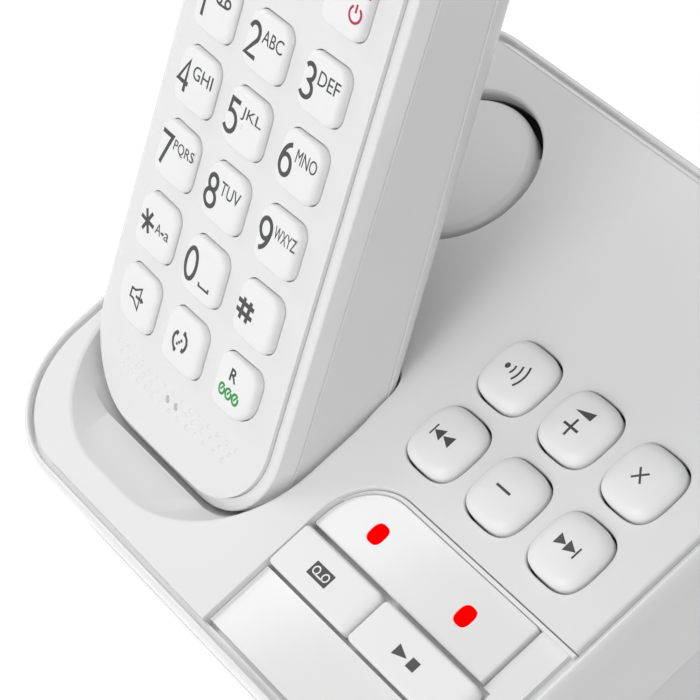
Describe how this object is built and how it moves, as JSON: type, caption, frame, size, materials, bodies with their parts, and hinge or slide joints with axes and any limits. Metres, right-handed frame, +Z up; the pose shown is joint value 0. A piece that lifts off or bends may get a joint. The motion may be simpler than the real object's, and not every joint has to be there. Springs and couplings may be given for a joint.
{
  "type": "cordless phone",
  "caption": "Cordless phone: push-button handset standing in the cradle of a sloping base with answering-machine keys, lamps and a sound outlet.",
  "frame": {"origin": "under the middle of the whole part, on the surface that its feet stand on", "axes": "+X to the right of someone facing the keys, +Y to the back, +Z up"},
  "size_m": [0.117, 0.1028, 0.1758],
  "materials": {
    "white_gloss": "high gloss",
    "white_shell": "gloss",
    "grey_shell": "satin gloss",
    "white_key": "satin",
    "red_lamp": "translucent",
    "speaker_metal": "plain",
    "board": "matte",
    "silicone": "matte",
    "contact_metal": "polished",
    "dark_socket": "matte",
    "foot_rubber": "matte",
    "screw_steel": "plated",
    "display_window": "clear",
    "display_panel": "satin",
    "battery_sleeve": "satin"
  },
  "bodies": {
    "base": {"base_bezel": "white_gloss", "base_top_cover": "white_shell", "base_lower_housing": "grey_shell", "base_trim_strip": "white_gloss", "lamp_strip": "white_gloss", "indicator_lamps": "red_lamp", "speaker_cap": "white_shell", "base_loudspeaker": "speaker_metal", "base_circuit_board": "board", "base_keypad_mat": "silicone", "base_charge_contacts": "contact_metal", "line_jack": "dark_socket", "power_jack": "dark_socket", "rubber_feet": "foot_rubber", "base_screws": "screw_steel"},
    "handset": {"handset_bezel": "white_gloss", "handset_front_shell": "white_shell", "handset_rear_shell": "grey_shell", "handset_back_cover": "grey_shell", "display_lens": "display_window", "display_module": "display_panel", "earpiece_speaker": "speaker_metal", "microphone": "speaker_metal", "handset_circuit_board": "board", "keypad_mat": "silicone", "batteries": "battery_sleeve", "battery_contacts": "contact_metal", "handset_loudspeaker": "speaker_metal", "handset_charge_contacts": "contact_metal", "handset_screws": "screw_steel"},
    "battery_door": {"battery_door": "grey_shell"},
    "speaker_key": {"speaker_key": "white_key"},
    "intercom_key": {"intercom_key": "white_key"},
    "recall_key": {"recall_key": "white_key"},
    "star_key": {"star_key": "white_key"},
    "digit_0_key": {"digit_0_key": "white_key"},
    "hash_key": {"hash_key": "white_key"},
    "digit_7_key": {"digit_7_key": "white_key"},
    "digit_8_key": {"digit_8_key": "white_key"},
    "digit_9_key": {"digit_9_key": "white_key"},
    "digit_4_key": {"digit_4_key": "white_key"},
    "digit_5_key": {"digit_5_key": "white_key"},
    "digit_6_key": {"digit_6_key": "white_key"},
    "digit_1_key": {"digit_1_key": "white_key"},
    "digit_2_key": {"digit_2_key": "white_key"},
    "digit_3_key": {"digit_3_key": "white_key"},
    "talk_key": {"talk_key": "white_key"},
    "off_key": {"off_key": "white_key"},
    "navigator_key": {"navigator_key": "white_key"},
    "left_soft_key": {"left_soft_key": "white_key"},
    "right_soft_key": {"right_soft_key": "white_key"},
    "skip_back_key": {"skip_back_key": "white_key"},
    "volume_down_key": {"volume_down_key": "white_key"},
    "skip_forward_key": {"skip_forward_key": "white_key"},
    "locator_key": {"locator_key": "white_key"},
    "volume_up_key": {"volume_up_key": "white_key"},
    "erase_key": {"erase_key": "white_key"},
    "answer_key": {"answer_key": "white_key"},
    "play_key": {"play_key": "white_key"}
  },
  "joints": [
    {"name": "handset_lift", "type": "slide", "parent": "base", "child": "handset", "axis": [0, 0.3615, 0.9324], "range_m": [0, 0.07]},
    {"name": "battery_door_slide", "type": "slide", "parent": "handset", "child": "battery_door", "axis": [0, -0.3615, -0.9324], "range_m": [0, 0.008]},
    {"name": "speaker_press", "type": "slide", "parent": "handset", "child": "speaker_key", "axis": [0, 0.9324, -0.3615], "range_m": [0, 0.0006], "stiffness_N_per_m": 1500},
    {"name": "intercom_press", "type": "slide", "parent": "handset", "child": "intercom_key", "axis": [0, 0.9324, -0.3615], "range_m": [0, 0.0006], "stiffness_N_per_m": 1500},
    {"name": "recall_press", "type": "slide", "parent": "handset", "child": "recall_key", "axis": [0, 0.9324, -0.3615], "range_m": [0, 0.0006], "stiffness_N_per_m": 1500},
    {"name": "star_press", "type": "slide", "parent": "handset", "child": "star_key", "axis": [0, 0.9324, -0.3615], "range_m": [0, 0.0006], "stiffness_N_per_m": 1500},
    {"name": "digit_0_press", "type": "slide", "parent": "handset", "child": "digit_0_key", "axis": [0, 0.9324, -0.3615], "range_m": [0, 0.0006], "stiffness_N_per_m": 1500},
    {"name": "hash_press", "type": "slide", "parent": "handset", "child": "hash_key", "axis": [0, 0.9324, -0.3615], "range_m": [0, 0.0006], "stiffness_N_per_m": 1500},
    {"name": "digit_7_press", "type": "slide", "parent": "handset", "child": "digit_7_key", "axis": [0, 0.9324, -0.3615], "range_m": [0, 0.0006], "stiffness_N_per_m": 1500},
    {"name": "digit_8_press", "type": "slide", "parent": "handset", "child": "digit_8_key", "axis": [0, 0.9324, -0.3615], "range_m": [0, 0.0006], "stiffness_N_per_m": 1500},
    {"name": "digit_9_press", "type": "slide", "parent": "handset", "child": "digit_9_key", "axis": [0, 0.9324, -0.3615], "range_m": [0, 0.0006], "stiffness_N_per_m": 1500},
    {"name": "digit_4_press", "type": "slide", "parent": "handset", "child": "digit_4_key", "axis": [0, 0.9324, -0.3615], "range_m": [0, 0.0006], "stiffness_N_per_m": 1500},
    {"name": "digit_5_press", "type": "slide", "parent": "handset", "child": "digit_5_key", "axis": [0, 0.9324, -0.3615], "range_m": [0, 0.0006], "stiffness_N_per_m": 1500},
    {"name": "digit_6_press", "type": "slide", "parent": "handset", "child": "digit_6_key", "axis": [0, 0.9324, -0.3615], "range_m": [0, 0.0006], "stiffness_N_per_m": 1500},
    {"name": "digit_1_press", "type": "slide", "parent": "handset", "child": "digit_1_key", "axis": [0, 0.9324, -0.3615], "range_m": [0, 0.0006], "stiffness_N_per_m": 1500},
    {"name": "digit_2_press", "type": "slide", "parent": "handset", "child": "digit_2_key", "axis": [0, 0.9324, -0.3615], "range_m": [0, 0.0006], "stiffness_N_per_m": 1500},
    {"name": "digit_3_press", "type": "slide", "parent": "handset", "child": "digit_3_key", "axis": [0, 0.9324, -0.3615], "range_m": [0, 0.0006], "stiffness_N_per_m": 1500},
    {"name": "talk_press", "type": "slide", "parent": "handset", "child": "talk_key", "axis": [0, 0.9324, -0.3615], "range_m": [0, 0.0006], "stiffness_N_per_m": 1500},
    {"name": "off_press", "type": "slide", "parent": "handset", "child": "off_key", "axis": [0, 0.9324, -0.3615], "range_m": [0, 0.0006], "stiffness_N_per_m": 1500},
    {"name": "navigator_press", "type": "slide", "parent": "handset", "child": "navigator_key", "axis": [0, 0.9324, -0.3615], "range_m": [0, 0.0006], "stiffness_N_per_m": 1500},
    {"name": "left_soft_press", "type": "slide", "parent": "handset", "child": "left_soft_key", "axis": [0, 0.9324, -0.3615], "range_m": [0, 0.0006], "stiffness_N_per_m": 1500},
    {"name": "right_soft_press", "type": "slide", "parent": "handset", "child": "right_soft_key", "axis": [0, 0.9324, -0.3615], "range_m": [0, 0.0006], "stiffness_N_per_m": 1500},
    {"name": "skip_back_press", "type": "slide", "parent": "base", "child": "skip_back_key", "axis": [0, 0.4226, -0.9063], "range_m": [0, 0.0008], "stiffness_N_per_m": 1500},
    {"name": "volume_down_press", "type": "slide", "parent": "base", "child": "volume_down_key", "axis": [0, 0.4226, -0.9063], "range_m": [0, 0.0008], "stiffness_N_per_m": 1500},
    {"name": "skip_forward_press", "type": "slide", "parent": "base", "child": "skip_forward_key", "axis": [0, 0.4226, -0.9063], "range_m": [0, 0.0008], "stiffness_N_per_m": 1500},
    {"name": "locator_press", "type": "slide", "parent": "base", "child": "locator_key", "axis": [0, 0.4226, -0.9063], "range_m": [0, 0.0008], "stiffness_N_per_m": 1500},
    {"name": "volume_up_press", "type": "slide", "parent": "base", "child": "volume_up_key", "axis": [0, 0.4226, -0.9063], "range_m": [0, 0.0008], "stiffness_N_per_m": 1500},
    {"name": "erase_press", "type": "slide", "parent": "base", "child": "erase_key", "axis": [0, 0.4226, -0.9063], "range_m": [0, 0.0008], "stiffness_N_per_m": 1500},
    {"name": "answer_press", "type": "slide", "parent": "base", "child": "answer_key", "axis": [0, 0.4226, -0.9063], "range_m": [0, 0.0008], "stiffness_N_per_m": 1500},
    {"name": "play_press", "type": "slide", "parent": "base", "child": "play_key", "axis": [0, 0.4226, -0.9063], "range_m": [0, 0.0008], "stiffness_N_per_m": 1500}
  ]
}
